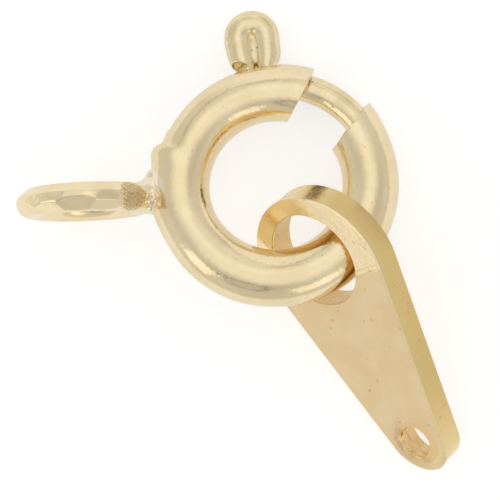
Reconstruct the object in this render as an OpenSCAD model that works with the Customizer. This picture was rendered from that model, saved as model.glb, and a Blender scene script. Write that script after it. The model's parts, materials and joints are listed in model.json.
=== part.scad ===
// Spring ring clasp with a chain tag threaded on it, lying on a flat surface.
// Every piece is drawn in the clasp's own frame, ring axis along Z and ring centre at zero,
// and the whole is then tipped as it rests: on the attachment ring, the lever and the tag's tail.

/* [Ring tube] */
// Outer diameter of the ring
ring_od = 6.0; // [5.8:0.1:6.2]
// Outer diameter of the tube that the ring is bent from
tube_d = 1.38; // [1.34:0.01:1.44]
// Diameter of the tube's bore
bore_d = 1.06; // [1.04:0.01:1.08]

/* [Gap] */
// Direction of the gap's middle, anticlockwise from +X
gap_at = 56.7; // [54:0.1:60]
// Width of the gap at the inside of the ring
gap_inner_w = 1.32; // [1.2:0.02:1.4]
// Width of the gap at the outside of the ring
gap_outer_w = 1.58; // [1.5:0.02:1.7]

/* [Bolt and lever] */
// Diameter of the bolt's wire
bolt_d = 0.59; // [0.56:0.01:0.6]
// Radial clearance between the bolt and the outer side of the bore
bolt_play = 0.045; // [0.03:0.005:0.07]
// How far the bolt's tip reaches into the far end of the tube, in degrees
bolt_grip = 7; // [5:1:10]
// How far the bolt runs on past the lever's middle to its tail, in degrees
bolt_tail = 14; // [12:1:16]
// Direction of the lever's middle when the clasp is closed
lever_at = 99.9; // [98:0.1:101]
// Distance from the ring's centre to the lever's top
lever_top = 4.46; // [4.3:0.02:4.6]
// Width of the lever across its two legs
lever_w = 1.36; // [1.3:0.02:1.4]
// Diameter of the lever's wire, pressed wider than the bolt's
lever_wire = 0.63; // [0.6:0.01:0.66]
// Width of the lever at its foot
lever_foot_w = 1.01; // [0.9:0.01:1.1]
// How far above the tube the lever's legs are at their widest
lever_neck = 0.42; // [0.36:0.02:0.48]
// How far the lever slides to open the clasp, in degrees
lever_travel = 42; // [38:1:44]
// Width of the slot that the lever slides in
slot_w = 0.70; // [0.66:0.02:0.8]

/* [Spring] */
// Outer diameter of the coil
spring_d = 0.92; // [0.86:0.01:0.96]
// Diameter of the spring's wire
spring_wire = 0.11; // [0.1:0.01:0.13]
// Number of turns
spring_turns = 15; // [12:1:18]
// Direction of the stop inside the tube that the spring bears on
stop_at = 234; // [230:1:240]
// Length of the stop along the tube, in degrees
stop_span = 7; // [5:1:10]

/* [Attachment ring] */
// Direction of the attachment ring from the ring's centre
eye_at = 185.0; // [182:0.1:187]
// Distance from the ring's centre to the attachment ring's far side
eye_reach = 6.38; // [6.3:0.01:6.5]
// Outer diameter of the attachment ring
eye_od = 3.40; // [3.36:0.01:3.45]
// Diameter of its wire
eye_wire = 0.71; // [0.68:0.01:0.73]
// Diameter of its hole, whose inner side is worn flat
eye_hole_d = 2.02; // [2.02:0.01:2.1]
// How far it leans out of square, and how far it is turned away from the ring's radius
eye_twist = -7; // [-9:0.5:0]
eye_turn = -1.9; // [-4:0.1:0]

/* [Collar] */
// How far the collar beside the attachment ring stands out from the tube
collar_rise = 0.17; // [0.1:0.01:0.25]
// Directions of the collar's two ends
collar_from = 162.5; // [161:0.5:165]
collar_to = 171; // [168:0.5:174]
// How far the low pad under the attachment ring stands out, and the direction where it ends
pad_rise = 0.07; // [0.04:0.01:0.1]
pad_to = 203; // [196:1:206]
// Diameter of the solder cone at its root
solder_d = 1.10; // [1.0:0.02:1.1]
// How far the solder climbs the attachment ring's wire, from the tube's outside
solder_rise = 0.47; // [0.3:0.01:0.5]

/* [Tag] */
// Thickness of the tag's plate
tag_t = 0.71; // [0.68:0.01:0.74]
// Radius of the round head
tag_head_r = 1.853; // [1.83:0.001:1.9]
// Radius of the round tail
tag_tail_r = 0.788; // [0.75:0.001:0.85]
// Distance between the middles of the head and the tail
tag_length = 5.01; // [4.9:0.01:5.2]
// Diameter of the hole that the ring goes through
tag_hole_d = 2.46; // [2.44:0.01:2.5]
// How far that hole is from the head's middle, along and across the tag
tag_hole_back = 0.21; // [0.15:0.01:0.25]
tag_hole_side = 0.083; // [0:0.001:0.12]
// Diameter of the small hole at the tail
tail_hole_d = 1.12; // [1.08:0.01:1.16]
// How far the small hole is across the tag, towards its right side
tail_hole_side = 0.109; // [0:0.001:0.12]
// Width of the countersink round the small hole
tail_hole_edge = 0.087; // [0.05:0.001:0.1]

/* [How the tag lies in the ring] */
// The big hole's middle on the tag's front face
tag_x = 0.948; // [0.94:0.001:0.96]
tag_y = -1.908; // [-1.92:0.001:-1.9]
tag_z = 0.199; // [0.19:0.001:0.21]
// Direction that the tag points to, how far it dips and how far it banks to its left side
tag_heading = -60.4; // [-60.6:0.1:-60.2]
tag_dip = 23.8; // [23.6:0.1:24]
tag_bank = 51.0; // [50.8:0.1:51.2]

/* [How the clasp lies] */
// Turns about X and Y that put its three lowest points level
rest_x = -15.42; // [-15.6:0.01:-15.2]
rest_y = 2.50; // [2.3:0.01:2.7]
// Where the ring's centre stands over the middle of the footprint
centre_x = 0.977; // [0.9:0.001:1.1]
centre_y = 1.393; // [1.3:0.001:1.5]
centre_z = 1.374; // [1.3:0.001:1.5]

/* [Hidden] */
$fn = 96;
tube_r = tube_d / 2;
bore_r = bore_d / 2;
ring_r = ring_od / 2 - tube_r;
bolt_r = bolt_d / 2;
// The bolt runs along the outer side of the bore
bolt_ring_r = ring_r + bore_r - bolt_play - bolt_r;
// The gap's two widths are those at the inside and the outside of the ring
gap_inner_at = ring_r - tube_r;
gap_outer_at = ring_r + tube_r;
gap_slope = (gap_outer_w - gap_inner_w) / 2 / (gap_outer_at - gap_inner_at);
function gap_half(distance) = gap_inner_w / 2 + gap_slope * (distance - gap_inner_at);
// Where the gap's walls cross the bolt's path
gap_end_right = gap_at - asin(gap_half(bolt_ring_r) / bolt_ring_r);
bolt_tip_at = gap_end_right - bolt_grip;
// The lever's feet fit the slot; above it the legs are wider, and each meets a knuckle at its bends
thinning = 0.015;
lever_r = lever_wire / 2;
leg_r = lever_r - thinning;
foot_r = bolt_r - thinning;
// The legs run straight down, then close in towards the foot
leg_half = lever_w / 2 - lever_r;
foot_half = lever_foot_w / 2 - bolt_r;
lever_arc_at = lever_top - lever_w / 2;
foot_depth = 0.05;
leg_bend_at = ring_od / 2 + lever_neck;
leg_foot_at = ring_od / 2 - foot_depth;
lever_foot_span = asin(lever_foot_w / 2 / (ring_od / 2));
bolt_tail_at = lever_at + bolt_tail;
// The slot leaves the lever room at both ends of its travel
slot_room = 1.4;
slot_from = lever_at - lever_foot_span - slot_room;
slot_to = lever_at + lever_foot_span + lever_travel + slot_room;
// The coil's middle line starts and ends this many degrees from what it bears on
spring_seat = 2;
spring_from = bolt_tail_at + spring_seat;
spring_to = stop_at - spring_seat;
spring_sides = 5;
spring_steps = 14;
eye_ring_r = (eye_od - eye_wire) / 2;
eye_centre = eye_reach - eye_od / 2;
// The pad starts inside the collar
pad_from = (collar_from + collar_to) / 2;
// The solder cone is rooted in the tube's wall
solder_root = 0.1;
solder_base = ring_od / 2 - solder_root;
cut_past = 0.2;
countersink_past = 0.02;
// The tag's straight sides run along its two end circles, a hair inside them
tag_side_slope = asin((tag_head_r - tag_tail_r) / tag_length);
tag_side_inset = 0.003;

// Part of a ring with a round section, from one direction to another
module ring_arc(centre_r, section_r, from, to) {
    rotate([0, 0, from])
        rotate_extrude(angle = to - from)
            translate([centre_r, 0])
                circle(r = section_r);
}

// Straight wire between two points in the ring's plane
module wire(from, to, r) {
    run = to - from;
    translate([from[0], from[1], 0])
        rotate([0, 0, atan2(run[1], run[0])])
            rotate([0, 90, 0])
                cylinder(r = r, h = norm(run));
}

// Rounds a bend where two straight wires meet
module knuckle(at, r) {
    translate([at[0], at[1], 0])
        sphere(r = r);
}

// Puts a piece drawn along +X at a direction and distance in the ring's plane
module at_ring(direction, distance = 0) {
    rotate([0, 0, direction])
        translate([distance, 0, 0])
            children();
}

// The opening between the tube's two ends, a little wider outside
module gap_cutter() {
    near = gap_inner_at - cut_past;
    far = gap_outer_at + 2 * cut_past;
    at_ring(gap_at)
        linear_extrude(height = 2 * tube_d, center = true)
            polygon([
                [near, -gap_half(near)],
                [far, -gap_half(far)],
                [far, gap_half(far)],
                [near, gap_half(near)]
            ]);
}

// The slot along the outside of the tube
module slot_cutter() {
    rotate([0, 0, slot_from])
        rotate_extrude(angle = slot_to - slot_from)
            translate([ring_r + bore_r / 2, -slot_w / 2])
                square([tube_d, slot_w]);
}

// The attachment ring stands across the main ring, with its axis along the tube
module eye_ring() {
    at_ring(eye_at, eye_centre)
        rotate([90 + eye_twist, 0, eye_turn])
            difference() {
                rotate_extrude()
                    translate([eye_ring_r, 0])
                        circle(r = eye_wire / 2);
                cylinder(d = eye_hole_d, h = eye_od, center = true);
            }
}

module housing_solid() {
    difference() {
        union() {
            ring_arc(ring_r, tube_r, gap_at, gap_at + 360);
            ring_arc(ring_r + collar_rise, tube_r, collar_from, collar_to);
            ring_arc(ring_r + pad_rise, tube_r, pad_from, pad_to);
            at_ring(eye_at, solder_base)
                rotate([0, 90, 0])
                    cylinder(d1 = solder_d, d2 = eye_wire, h = solder_rise + solder_root);
            eye_ring();
        }
        ring_arc(ring_r, bore_r, gap_at, stop_at);
        ring_arc(ring_r, bore_r, stop_at + stop_span, gap_at + 360);
        gap_cutter();
        slot_cutter();
    }
}

// The bolt's wire, doubled into the thumb lever
module bolt_solid() {
    ring_arc(bolt_ring_r, bolt_r, bolt_tip_at, bolt_tail_at);
    at_ring(bolt_tip_at, bolt_ring_r)
        sphere(r = foot_r);
    at_ring(lever_at) {
        for (side = [-1, 1]) {
            wire([bolt_ring_r, side * foot_half], [leg_foot_at, side * foot_half], foot_r);
            wire([leg_foot_at, side * foot_half], [leg_bend_at, side * leg_half], foot_r);
            wire([leg_bend_at, side * leg_half], [lever_arc_at, side * leg_half], leg_r);
            knuckle([leg_foot_at, side * foot_half], foot_r + thinning / 2);
            knuckle([leg_bend_at, side * leg_half], leg_r + thinning / 2);
        }
        translate([lever_arc_at, 0, 0])
            ring_arc(leg_half, lever_r, -90, 90);
    }
}

// A round wire wound round the tube's middle line between the bolt and the stop
function coil_point(turn, around) =
    let (
        along = spring_from + (spring_to - spring_from) * turn / spring_turns,
        phase = 360 * turn,
        coil_r = (spring_d - spring_wire) / 2,
        out = ring_r + coil_r * cos(phase) + spring_wire / 2 * cos(around) * cos(phase),
        up = coil_r * sin(phase) + spring_wire / 2 * cos(around) * sin(phase),
        lean = spring_wire / 2 * sin(around) / ring_r * 180 / PI
    )
    [out * cos(along + lean), out * sin(along + lean), up];

module spring_solid() {
    last = spring_turns * spring_steps;
    points = [
        for (i = [0 : last])
            for (k = [0 : spring_sides - 1])
                coil_point(i / spring_steps, 360 * k / spring_sides)
    ];
    sides = [
        for (i = [0 : last - 1])
            for (k = [0 : spring_sides - 1])
                let (
                    a = i * spring_sides + k,
                    b = i * spring_sides + (k + 1) % spring_sides
                )
                [a, a + spring_sides, b + spring_sides, b]
    ];
    first_cap = [for (k = [0 : spring_sides - 1]) k];
    last_cap = [for (k = [spring_sides - 1 : -1 : 0]) last * spring_sides + k];
    polyhedron(points, concat(sides, [first_cap, last_cap]));
}

// The tag's outline, with the big hole's middle at zero and the tail along +X
module tag_outline() {
    tail_x = tag_length + tag_hole_back;
    translate([tag_hole_back, tag_hole_side])
        circle(r = tag_head_r);
    translate([tail_x, tag_hole_side])
        circle(r = tag_tail_r);
    translate([0, tag_hole_side])
        polygon([
            for (side = [-1, 1])
                for (end = side < 0 ? [0, 1] : [1, 0])
                    let (
                        r = (end == 0 ? tag_head_r : tag_tail_r) - tag_side_inset,
                        x = end == 0 ? tag_hole_back : tail_x
                    )
                    [x + r * sin(tag_side_slope), side * r * cos(tag_side_slope)]
        ]);
}

module tag_solid() {
    tail_hole_x = tag_length + tag_hole_back;
    tail_hole_y = tag_hole_side + tail_hole_side;
    difference() {
        translate([0, 0, -tag_t])
            linear_extrude(height = tag_t)
                tag_outline();
        cylinder(d = tag_hole_d, h = 4 * tag_t, center = true);
        translate([tail_hole_x, tail_hole_y, 0])
            cylinder(d = tail_hole_d, h = 4 * tag_t, center = true);
        for (face = [0, 1])
            translate([tail_hole_x, tail_hole_y, -face * tag_t])
                mirror([0, 0, face])
                    translate([0, 0, -tail_hole_edge])
                        cylinder(
                            r1 = tail_hole_d / 2,
                            r2 = tail_hole_d / 2 + tail_hole_edge + countersink_past,
                            h = tail_hole_edge + countersink_past
                        );
    }
}

// Tips the clasp as it lies and stands it on z = 0
module at_rest() {
    translate([centre_x, centre_y, centre_z])
        rotate([rest_x, rest_y, 0])
            children();
}

module housing() {
    color([0.85, 0.79, 0.61])
        at_rest()
            housing_solid();
}

module bolt() {
    color([0.83, 0.76, 0.56])
        at_rest()
            bolt_solid();
}

module spring() {
    color([0.70, 0.70, 0.72])
        at_rest()
            spring_solid();
}

module tag() {
    color([0.88, 0.74, 0.47])
        at_rest()
            translate([tag_x, tag_y, tag_z])
                rotate([tag_bank, tag_dip, tag_heading])
                    tag_solid();
}

housing();
bolt();
spring();
tag();
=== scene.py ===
import json
import math

import bmesh
import bpy
from mathutils import Euler, Matrix, Vector


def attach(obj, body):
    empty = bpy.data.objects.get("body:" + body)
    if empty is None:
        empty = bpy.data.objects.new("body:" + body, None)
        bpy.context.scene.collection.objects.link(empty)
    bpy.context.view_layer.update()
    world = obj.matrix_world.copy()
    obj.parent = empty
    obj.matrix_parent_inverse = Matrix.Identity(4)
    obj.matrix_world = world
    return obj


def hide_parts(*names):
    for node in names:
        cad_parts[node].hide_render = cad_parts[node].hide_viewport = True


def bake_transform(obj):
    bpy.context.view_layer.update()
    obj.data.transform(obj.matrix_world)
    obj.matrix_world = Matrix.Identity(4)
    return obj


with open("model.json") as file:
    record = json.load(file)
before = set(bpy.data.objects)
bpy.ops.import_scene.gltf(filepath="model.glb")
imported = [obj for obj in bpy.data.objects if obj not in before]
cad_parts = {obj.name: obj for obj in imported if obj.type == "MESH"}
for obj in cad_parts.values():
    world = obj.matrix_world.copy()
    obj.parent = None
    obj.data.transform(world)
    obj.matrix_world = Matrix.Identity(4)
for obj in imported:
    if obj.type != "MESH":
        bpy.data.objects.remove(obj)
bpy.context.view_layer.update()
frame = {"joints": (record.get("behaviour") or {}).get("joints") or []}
print("frame loaded")

# Every piece is modelled in millimetres in the ring's own frame: axis along Z, centre at zero.
# layDown then tips it as the clasp lies, and makes it metres.
slide = frame["joints"][0]
ringCentre = Vector(slide["pos_m"])
ringAxis = Vector(slide["axis"])
ringTip = Euler((-math.asin(ringAxis.y), math.atan2(ringAxis.x, ringAxis.z), 0))
mm = 0.001
ringToWorld = Matrix.Translation(ringCentre) @ ringTip.to_matrix().to_4x4() @ Matrix.Scale(mm, 4)
# points nearer to each other than this are one point
sameSpot = 0.0005


# modelling help

def clearAll():
    if bpy.context.mode != "OBJECT":
        bpy.ops.object.mode_set(mode="OBJECT")
    bpy.ops.object.select_all(action="DESELECT")


def takeNew(name):
    piece = bpy.context.active_object
    piece.name = name
    piece.data.name = name
    return piece


def edit(piece):
    clearAll()
    bpy.context.view_layer.objects.active = piece
    piece.select_set(True)
    bpy.ops.object.mode_set(mode="EDIT")
    bpy.ops.mesh.select_all(action="DESELECT")


def leave():
    bpy.ops.object.mode_set(mode="OBJECT")


def pickPoints(piece, test):
    bpy.ops.mesh.select_mode(type="VERT")
    bpy.ops.mesh.select_all(action="DESELECT")
    shape = bmesh.from_edit_mesh(piece.data)
    for point in shape.verts:
        if test(point.co):
            point.select_set(True)
    shape.select_flush_mode()
    bmesh.update_edit_mesh(piece.data)


def pickFaces(piece, test):
    bpy.ops.mesh.select_mode(type="FACE")
    bpy.ops.mesh.select_all(action="DESELECT")
    shape = bmesh.from_edit_mesh(piece.data)
    for face in shape.faces:
        if test(face.calc_center_median(), face.normal):
            face.select_set(True)
    shape.select_flush_mode()
    bmesh.update_edit_mesh(piece.data)


def pickRims(piece, test):
    bpy.ops.mesh.select_mode(type="EDGE")
    bpy.ops.mesh.select_all(action="DESELECT")
    shape = bmesh.from_edit_mesh(piece.data)
    for edge in shape.edges:
        if edge.is_boundary and test(edge.verts[0].co) and test(edge.verts[1].co):
            edge.select_set(True)
    shape.select_flush_mode()
    bmesh.update_edit_mesh(piece.data)


def pressFlat(piece, onFlat, facing, reach):
    # what stands proud of the flat within reach is pressed onto it
    level = facing.to_track_quat("Z", "Y").to_matrix()
    pickPoints(piece, lambda point: (point - onFlat).length < reach and (point - onFlat).dot(facing) > 0)
    bpy.ops.transform.resize(
        value=(1, 1, 0), orient_matrix=level, orient_type="GLOBAL",
        orient_matrix_type="GLOBAL", center_override=onFlat,
    )


def bakeModifiers(piece):
    clearAll()
    bpy.context.view_layer.objects.active = piece
    piece.select_set(True)
    for modifier in list(piece.modifiers):
        bpy.ops.object.modifier_apply(modifier=modifier.name)


def bakePlace(piece):
    clearAll()
    bpy.context.view_layer.objects.active = piece
    piece.select_set(True)
    bpy.ops.object.transform_apply(location=True, rotation=True, scale=True)


def joinAll(pieces):
    clearAll()
    for piece in pieces:
        piece.select_set(True)
    bpy.context.view_layer.objects.active = pieces[0]
    bpy.ops.object.join()
    return pieces[0]


def tidyFaces(piece, apart=sameSpot):
    edit(piece)
    bpy.ops.mesh.select_all(action="SELECT")
    bpy.ops.mesh.remove_doubles(threshold=apart)
    bpy.ops.mesh.normals_make_consistent(inside=False)
    leave()


def smooth(piece, degrees):
    clearAll()
    bpy.context.view_layer.objects.active = piece
    piece.select_set(True)
    bpy.ops.object.shade_smooth_by_angle(angle=math.radians(degrees))


def layDown(piece):
    piece.matrix_world = ringToWorld
    bakePlace(piece)


def atRing(degrees, distance, up=0.0):
    turn = math.radians(degrees)
    return Vector((distance * math.cos(turn), distance * math.sin(turn), up))


def directionOf(point):
    return math.degrees(math.atan2(point.y, point.x)) % 360


# shared effects

def newGroup(name, inputs, outputs):
    group = bpy.data.node_groups.new(name, "ShaderNodeTree")
    for label, kind, value in inputs:
        socket = group.interface.new_socket(label, in_out="INPUT", socket_type=kind)
        if value is not None:
            socket.default_value = value
    for label, kind in outputs:
        group.interface.new_socket(label, in_out="OUTPUT", socket_type=kind)
    start = group.nodes.new("NodeGroupInput")
    end = group.nodes.new("NodeGroupOutput")
    return group, start, end


def mathNode(tree, operation, first, second=None, clamp=False):
    node = tree.nodes.new("ShaderNodeMath")
    node.operation = operation
    node.use_clamp = clamp
    for socket, value in zip(node.inputs, (first, second)):
        if value is None:
            continue
        if isinstance(value, (int, float)):
            socket.default_value = value
        else:
            tree.links.new(value, socket)
    return node.outputs[0]


def remap(tree, value, low, high, newLow=0.0, newHigh=1.0):
    node = tree.nodes.new("ShaderNodeMapRange")
    node.interpolation_type = "SMOOTHSTEP"
    tree.links.new(value, node.inputs["Value"])
    for label, number in (("From Min", low), ("From Max", high), ("To Min", newLow), ("To Max", newHigh)):
        if isinstance(number, (int, float)):
            node.inputs[label].default_value = number
        else:
            tree.links.new(number, node.inputs[label])
    return node.outputs["Result"]


def mixColours(tree, share, first, second, blend="MIX"):
    node = tree.nodes.new("ShaderNodeMix")
    node.data_type = "RGBA"
    node.blend_type = blend
    for socket, value in ((node.inputs[0], share), (node.inputs[6], first), (node.inputs[7], second)):
        if isinstance(value, (int, float, tuple)):
            socket.default_value = value
        else:
            tree.links.new(value, socket)
    return node.outputs[2]


castShape = {
    "mottleDetail": 3,
    "mottleFrom": 0.32,
    "mottleTo": 0.68,
    "pitCore": 0.10,
    "pitRim": 0.32,
}


def makeCastWear():
    # soft mottling, small dents and fine pits of a plated casting
    group, start, end = newGroup(
        "castWear",
        [("Vector", "NodeSocketVector", None), ("Mottle Size", "NodeSocketFloat", 1.4),
         ("Pit Size", "NodeSocketFloat", 9.0), ("Pit Share", "NodeSocketFloat", 0.2)],
        [("Mottle", "NodeSocketFloat"), ("Pits", "NodeSocketFloat"), ("Height", "NodeSocketFloat")],
    )
    broad = group.nodes.new("ShaderNodeTexNoise")
    broad.inputs["Detail"].default_value = castShape["mottleDetail"]
    group.links.new(start.outputs["Vector"], broad.inputs["Vector"])
    group.links.new(start.outputs["Mottle Size"], broad.inputs["Scale"])
    speck = group.nodes.new("ShaderNodeTexVoronoi")
    group.links.new(start.outputs["Vector"], speck.inputs["Vector"])
    group.links.new(start.outputs["Pit Size"], speck.inputs["Scale"])
    few = group.nodes.new("ShaderNodeSeparateColor")
    group.links.new(speck.outputs["Color"], few.inputs[0])
    chosen = mathNode(group, "LESS_THAN", few.outputs[0], start.outputs["Pit Share"])
    dot = remap(group, speck.outputs["Distance"], castShape["pitCore"], castShape["pitRim"], 1.0, 0.0)
    pits = mathNode(group, "MULTIPLY", chosen, dot)
    mottle = remap(group, broad.outputs[0], castShape["mottleFrom"], castShape["mottleTo"])
    height = mathNode(group, "SUBTRACT", mottle, pits)
    group.links.new(mottle, end.inputs["Mottle"])
    group.links.new(pits, end.inputs["Pits"])
    group.links.new(height, end.inputs["Height"])
    return group


hairlineShape = {"detail": 2, "softness": 0.15}


def makeFineScratches():
    # hairlines that run along the first axis of the vector they are given
    group, start, end = newGroup(
        "fineScratches",
        [("Vector", "NodeSocketVector", None), ("Across", "NodeSocketFloat", 30.0),
         ("Along", "NodeSocketFloat", 1.2), ("Share", "NodeSocketFloat", 0.45)],
        [("Mask", "NodeSocketFloat"), ("Height", "NodeSocketFloat")],
    )
    stretch = group.nodes.new("ShaderNodeCombineXYZ")
    group.links.new(start.outputs["Along"], stretch.inputs[0])
    group.links.new(start.outputs["Across"], stretch.inputs[1])
    group.links.new(start.outputs["Across"], stretch.inputs[2])
    scaled = group.nodes.new("ShaderNodeVectorMath")
    scaled.operation = "MULTIPLY"
    group.links.new(start.outputs["Vector"], scaled.inputs[0])
    group.links.new(stretch.outputs[0], scaled.inputs[1])
    noise = group.nodes.new("ShaderNodeTexNoise")
    noise.inputs["Scale"].default_value = 1
    noise.inputs["Detail"].default_value = hairlineShape["detail"]
    group.links.new(scaled.outputs[0], noise.inputs["Vector"])
    low = mathNode(group, "SUBTRACT", 1.0, start.outputs["Share"])
    high = mathNode(group, "ADD", low, hairlineShape["softness"])
    mask = remap(group, noise.outputs[0], low, high)
    group.links.new(mask, end.inputs["Mask"])
    group.links.new(noise.outputs[0], end.inputs["Height"])
    return group


def makeRingCoords():
    # along the ring, out from its axis, and up, in millimetres
    group, start, end = newGroup(
        "ringCoords",
        [("Vector", "NodeSocketVector", None), ("Ring Radius", "NodeSocketFloat", 2.31)],
        [("Along", "NodeSocketFloat"), ("Out", "NodeSocketFloat"), ("Up", "NodeSocketFloat")],
    )
    parts = group.nodes.new("ShaderNodeSeparateXYZ")
    group.links.new(start.outputs["Vector"], parts.inputs[0])
    turn = mathNode(group, "ARCTAN2", parts.outputs[1], parts.outputs[0])
    group.links.new(mathNode(group, "MULTIPLY", turn, start.outputs["Ring Radius"]), end.inputs["Along"])
    squares = mathNode(
        group, "ADD",
        mathNode(group, "MULTIPLY", parts.outputs[0], parts.outputs[0]),
        mathNode(group, "MULTIPLY", parts.outputs[1], parts.outputs[1]),
    )
    group.links.new(mathNode(group, "SQRT", squares), end.inputs["Out"])
    group.links.new(parts.outputs[2], end.inputs["Up"])
    return group


castWear = makeCastWear()
fineScratches = makeFineScratches()
ringCoords = makeRingCoords()
print("shared effects made")


def startMaterial(name, place, turn):
    # a metal whose patterns are read in millimetres, in the frame of place and turn
    material = bpy.data.materials.new(name)
    material.use_nodes = True
    tree = material.node_tree
    tree.nodes.clear()
    output = tree.nodes.new("ShaderNodeOutputMaterial")
    metal = tree.nodes.new("ShaderNodeBsdfPrincipled")
    metal.inputs["Metallic"].default_value = 1.0
    tree.links.new(metal.outputs[0], output.inputs[0])
    coords = tree.nodes.new("ShaderNodeTexCoord")
    local = tree.nodes.new("ShaderNodeMapping")
    local.vector_type = "TEXTURE"
    local.inputs["Location"].default_value = place
    local.inputs["Rotation"].default_value = turn
    local.inputs["Scale"].default_value = (mm, mm, mm)
    tree.links.new(coords.outputs["Object"], local.inputs["Vector"])
    return material, tree, metal, local.outputs[0]


def useGroup(tree, group, vector, **values):
    node = tree.nodes.new("ShaderNodeGroup")
    node.node_tree = group
    if vector is not None:
        tree.links.new(vector, node.inputs["Vector"])
    for label, value in values.items():
        node.inputs[label.replace("_", " ")].default_value = value
    return node


def addBump(tree, height, distance, normal=None, strength=1.0):
    node = tree.nodes.new("ShaderNodeBump")
    node.inputs["Strength"].default_value = strength
    node.inputs["Distance"].default_value = distance * mm
    tree.links.new(height, node.inputs["Height"])
    if normal is not None:
        tree.links.new(normal, node.inputs["Normal"])
    return node.outputs[0]


def joinVector(tree, first, second, third):
    node = tree.nodes.new("ShaderNodeCombineXYZ")
    for socket, value in zip(node.inputs, (first, second, third)):
        if isinstance(value, (int, float)):
            socket.default_value = value
        else:
            tree.links.new(value, socket)
    return node.outputs[0]


def darkenPits(tree, wear, colour, finish):
    share = mathNode(tree, "MULTIPLY", wear.outputs["Pits"], finish["pitShade"])
    return mixColours(tree, share, colour, finish["pit"])


# tube

tubeFinish = {
    "pale": (0.91, 0.772, 0.505, 1),
    "deep": (0.86, 0.715, 0.445, 1),
    "pit": (0.42, 0.31, 0.15, 1),
    "pitShade": 0.4,
    "roughLow": 0.08,
    "roughHigh": 0.17,
    "scratchRough": 0.10,
    "dentHeight": 0.0035,
    "scratchHeight": 0.0006,
    "pitHeight": 0.0012,
    # the paler metal round the solder: its middle, how far it reaches and how wide it fades
    "solder": (0.93, 0.82, 0.62, 1),
    "solderAt": (-2.98, -0.20, 0.22),
    "solderReach": 0.60,
    "solderFade": 0.18,
}


def palerBySolder(tree, local, colour):
    near = tree.nodes.new("ShaderNodeVectorMath")
    near.operation = "DISTANCE"
    near.inputs[1].default_value = tubeFinish["solderAt"]
    tree.links.new(local, near.inputs[0])
    reach = tubeFinish["solderReach"]
    share = remap(tree, near.outputs["Value"], reach - tubeFinish["solderFade"], reach, 1.0, 0.0)
    return mixColours(tree, share, colour, tubeFinish["solder"])


def makePaleGold():
    f = tubeFinish
    material, tree, metal, local = startMaterial("pale gold plate", ringCentre, ringTip)
    ring = useGroup(tree, ringCoords, local)
    wear = useGroup(tree, castWear, local, Mottle_Size=1.3, Pit_Size=11.0, Pit_Share=0.05)
    dust = useGroup(tree, castWear, local, Mottle_Size=9.0, Pit_Size=18.0, Pit_Share=0.12)
    bent = joinVector(tree, ring.outputs["Along"], ring.outputs["Out"], ring.outputs["Up"])
    lines = useGroup(tree, fineScratches, bent, Across=26.0, Along=1.0, Share=0.42)
    colour = mixColours(tree, wear.outputs["Mottle"], f["pale"], f["deep"])
    colour = darkenPits(tree, wear, colour, f)
    colour = palerBySolder(tree, local, colour)
    tree.links.new(colour, metal.inputs["Base Color"])
    rough = remap(tree, dust.outputs["Mottle"], 0.0, 1.0, f["roughLow"], f["roughHigh"])
    scratched = mathNode(tree, "MULTIPLY", lines.outputs["Mask"], f["scratchRough"])
    rough = mathNode(tree, "ADD", rough, scratched)
    tree.links.new(rough, metal.inputs["Roughness"])
    normal = addBump(tree, wear.outputs["Mottle"], f["dentHeight"])
    normal = addBump(tree, lines.outputs["Height"], f["scratchHeight"], normal)
    normal = addBump(tree, dust.outputs["Height"], f["pitHeight"], normal)
    tree.links.new(normal, metal.inputs["Normal"])
    return material


tubeSize = {
    "ringRadius": 2.31,
    "tubeRadius": 0.69,
    "wall": 0.11,
    "sectionPoints": 72,
    "sweepFrom": 70.0,
    "sweep": 334.0,
    "steps": 222,
    "slotFrom": 88.8,
    "slotTo": 153.0,
    "slotHalf": 0.345,
    "slotReach": 3,
    "lip": 0.022,
    "lipSteps": 2,
    "lipAngle": 50,
    "shadeAngle": 35,
    # each slanting wall of the gap: a point on it, the direction that faces out of the metal, and
    # where it is round the ring
    "walls": (((0.574, 2.226, 0), (0.886, -0.430, -0.175), 76),
              ((1.804, 1.476, 0), (-0.792, 0.582, 0.184), 38)),
    "wallReach": 14,
    # the outside that is drawn out: how far in from the middle line it starts, and how thick its skin is
    "halfSlack": 0.01,
    "skin": 0.03,
    # how far the collar and pad stand out, by direction
    "collar": ((160.2, 0), (161.4, 0.03), (163.0, 0.145), (164.8, 0.175), (167.5, 0.17),
               (170, 0.125), (173, 0.085), (180, 0.075), (195, 0.07), (201, 0.045), (207, 0.02), (212, 0)),
    # the gap's ends flare a little
    "rightFlare": ((22, 0), (32, 0.025), (39, 0.055), (46, 0.055)),
    "leftFlare": ((64, 0.05), (74, 0.045), (86, 0.03), (100, 0)),
    # and the tube is a little fuller where it was soldered, in shares of its thickness
    "fuller": ((205, 0), (222, 0.03), (252, 0.03), (272, 0)),
}


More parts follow.
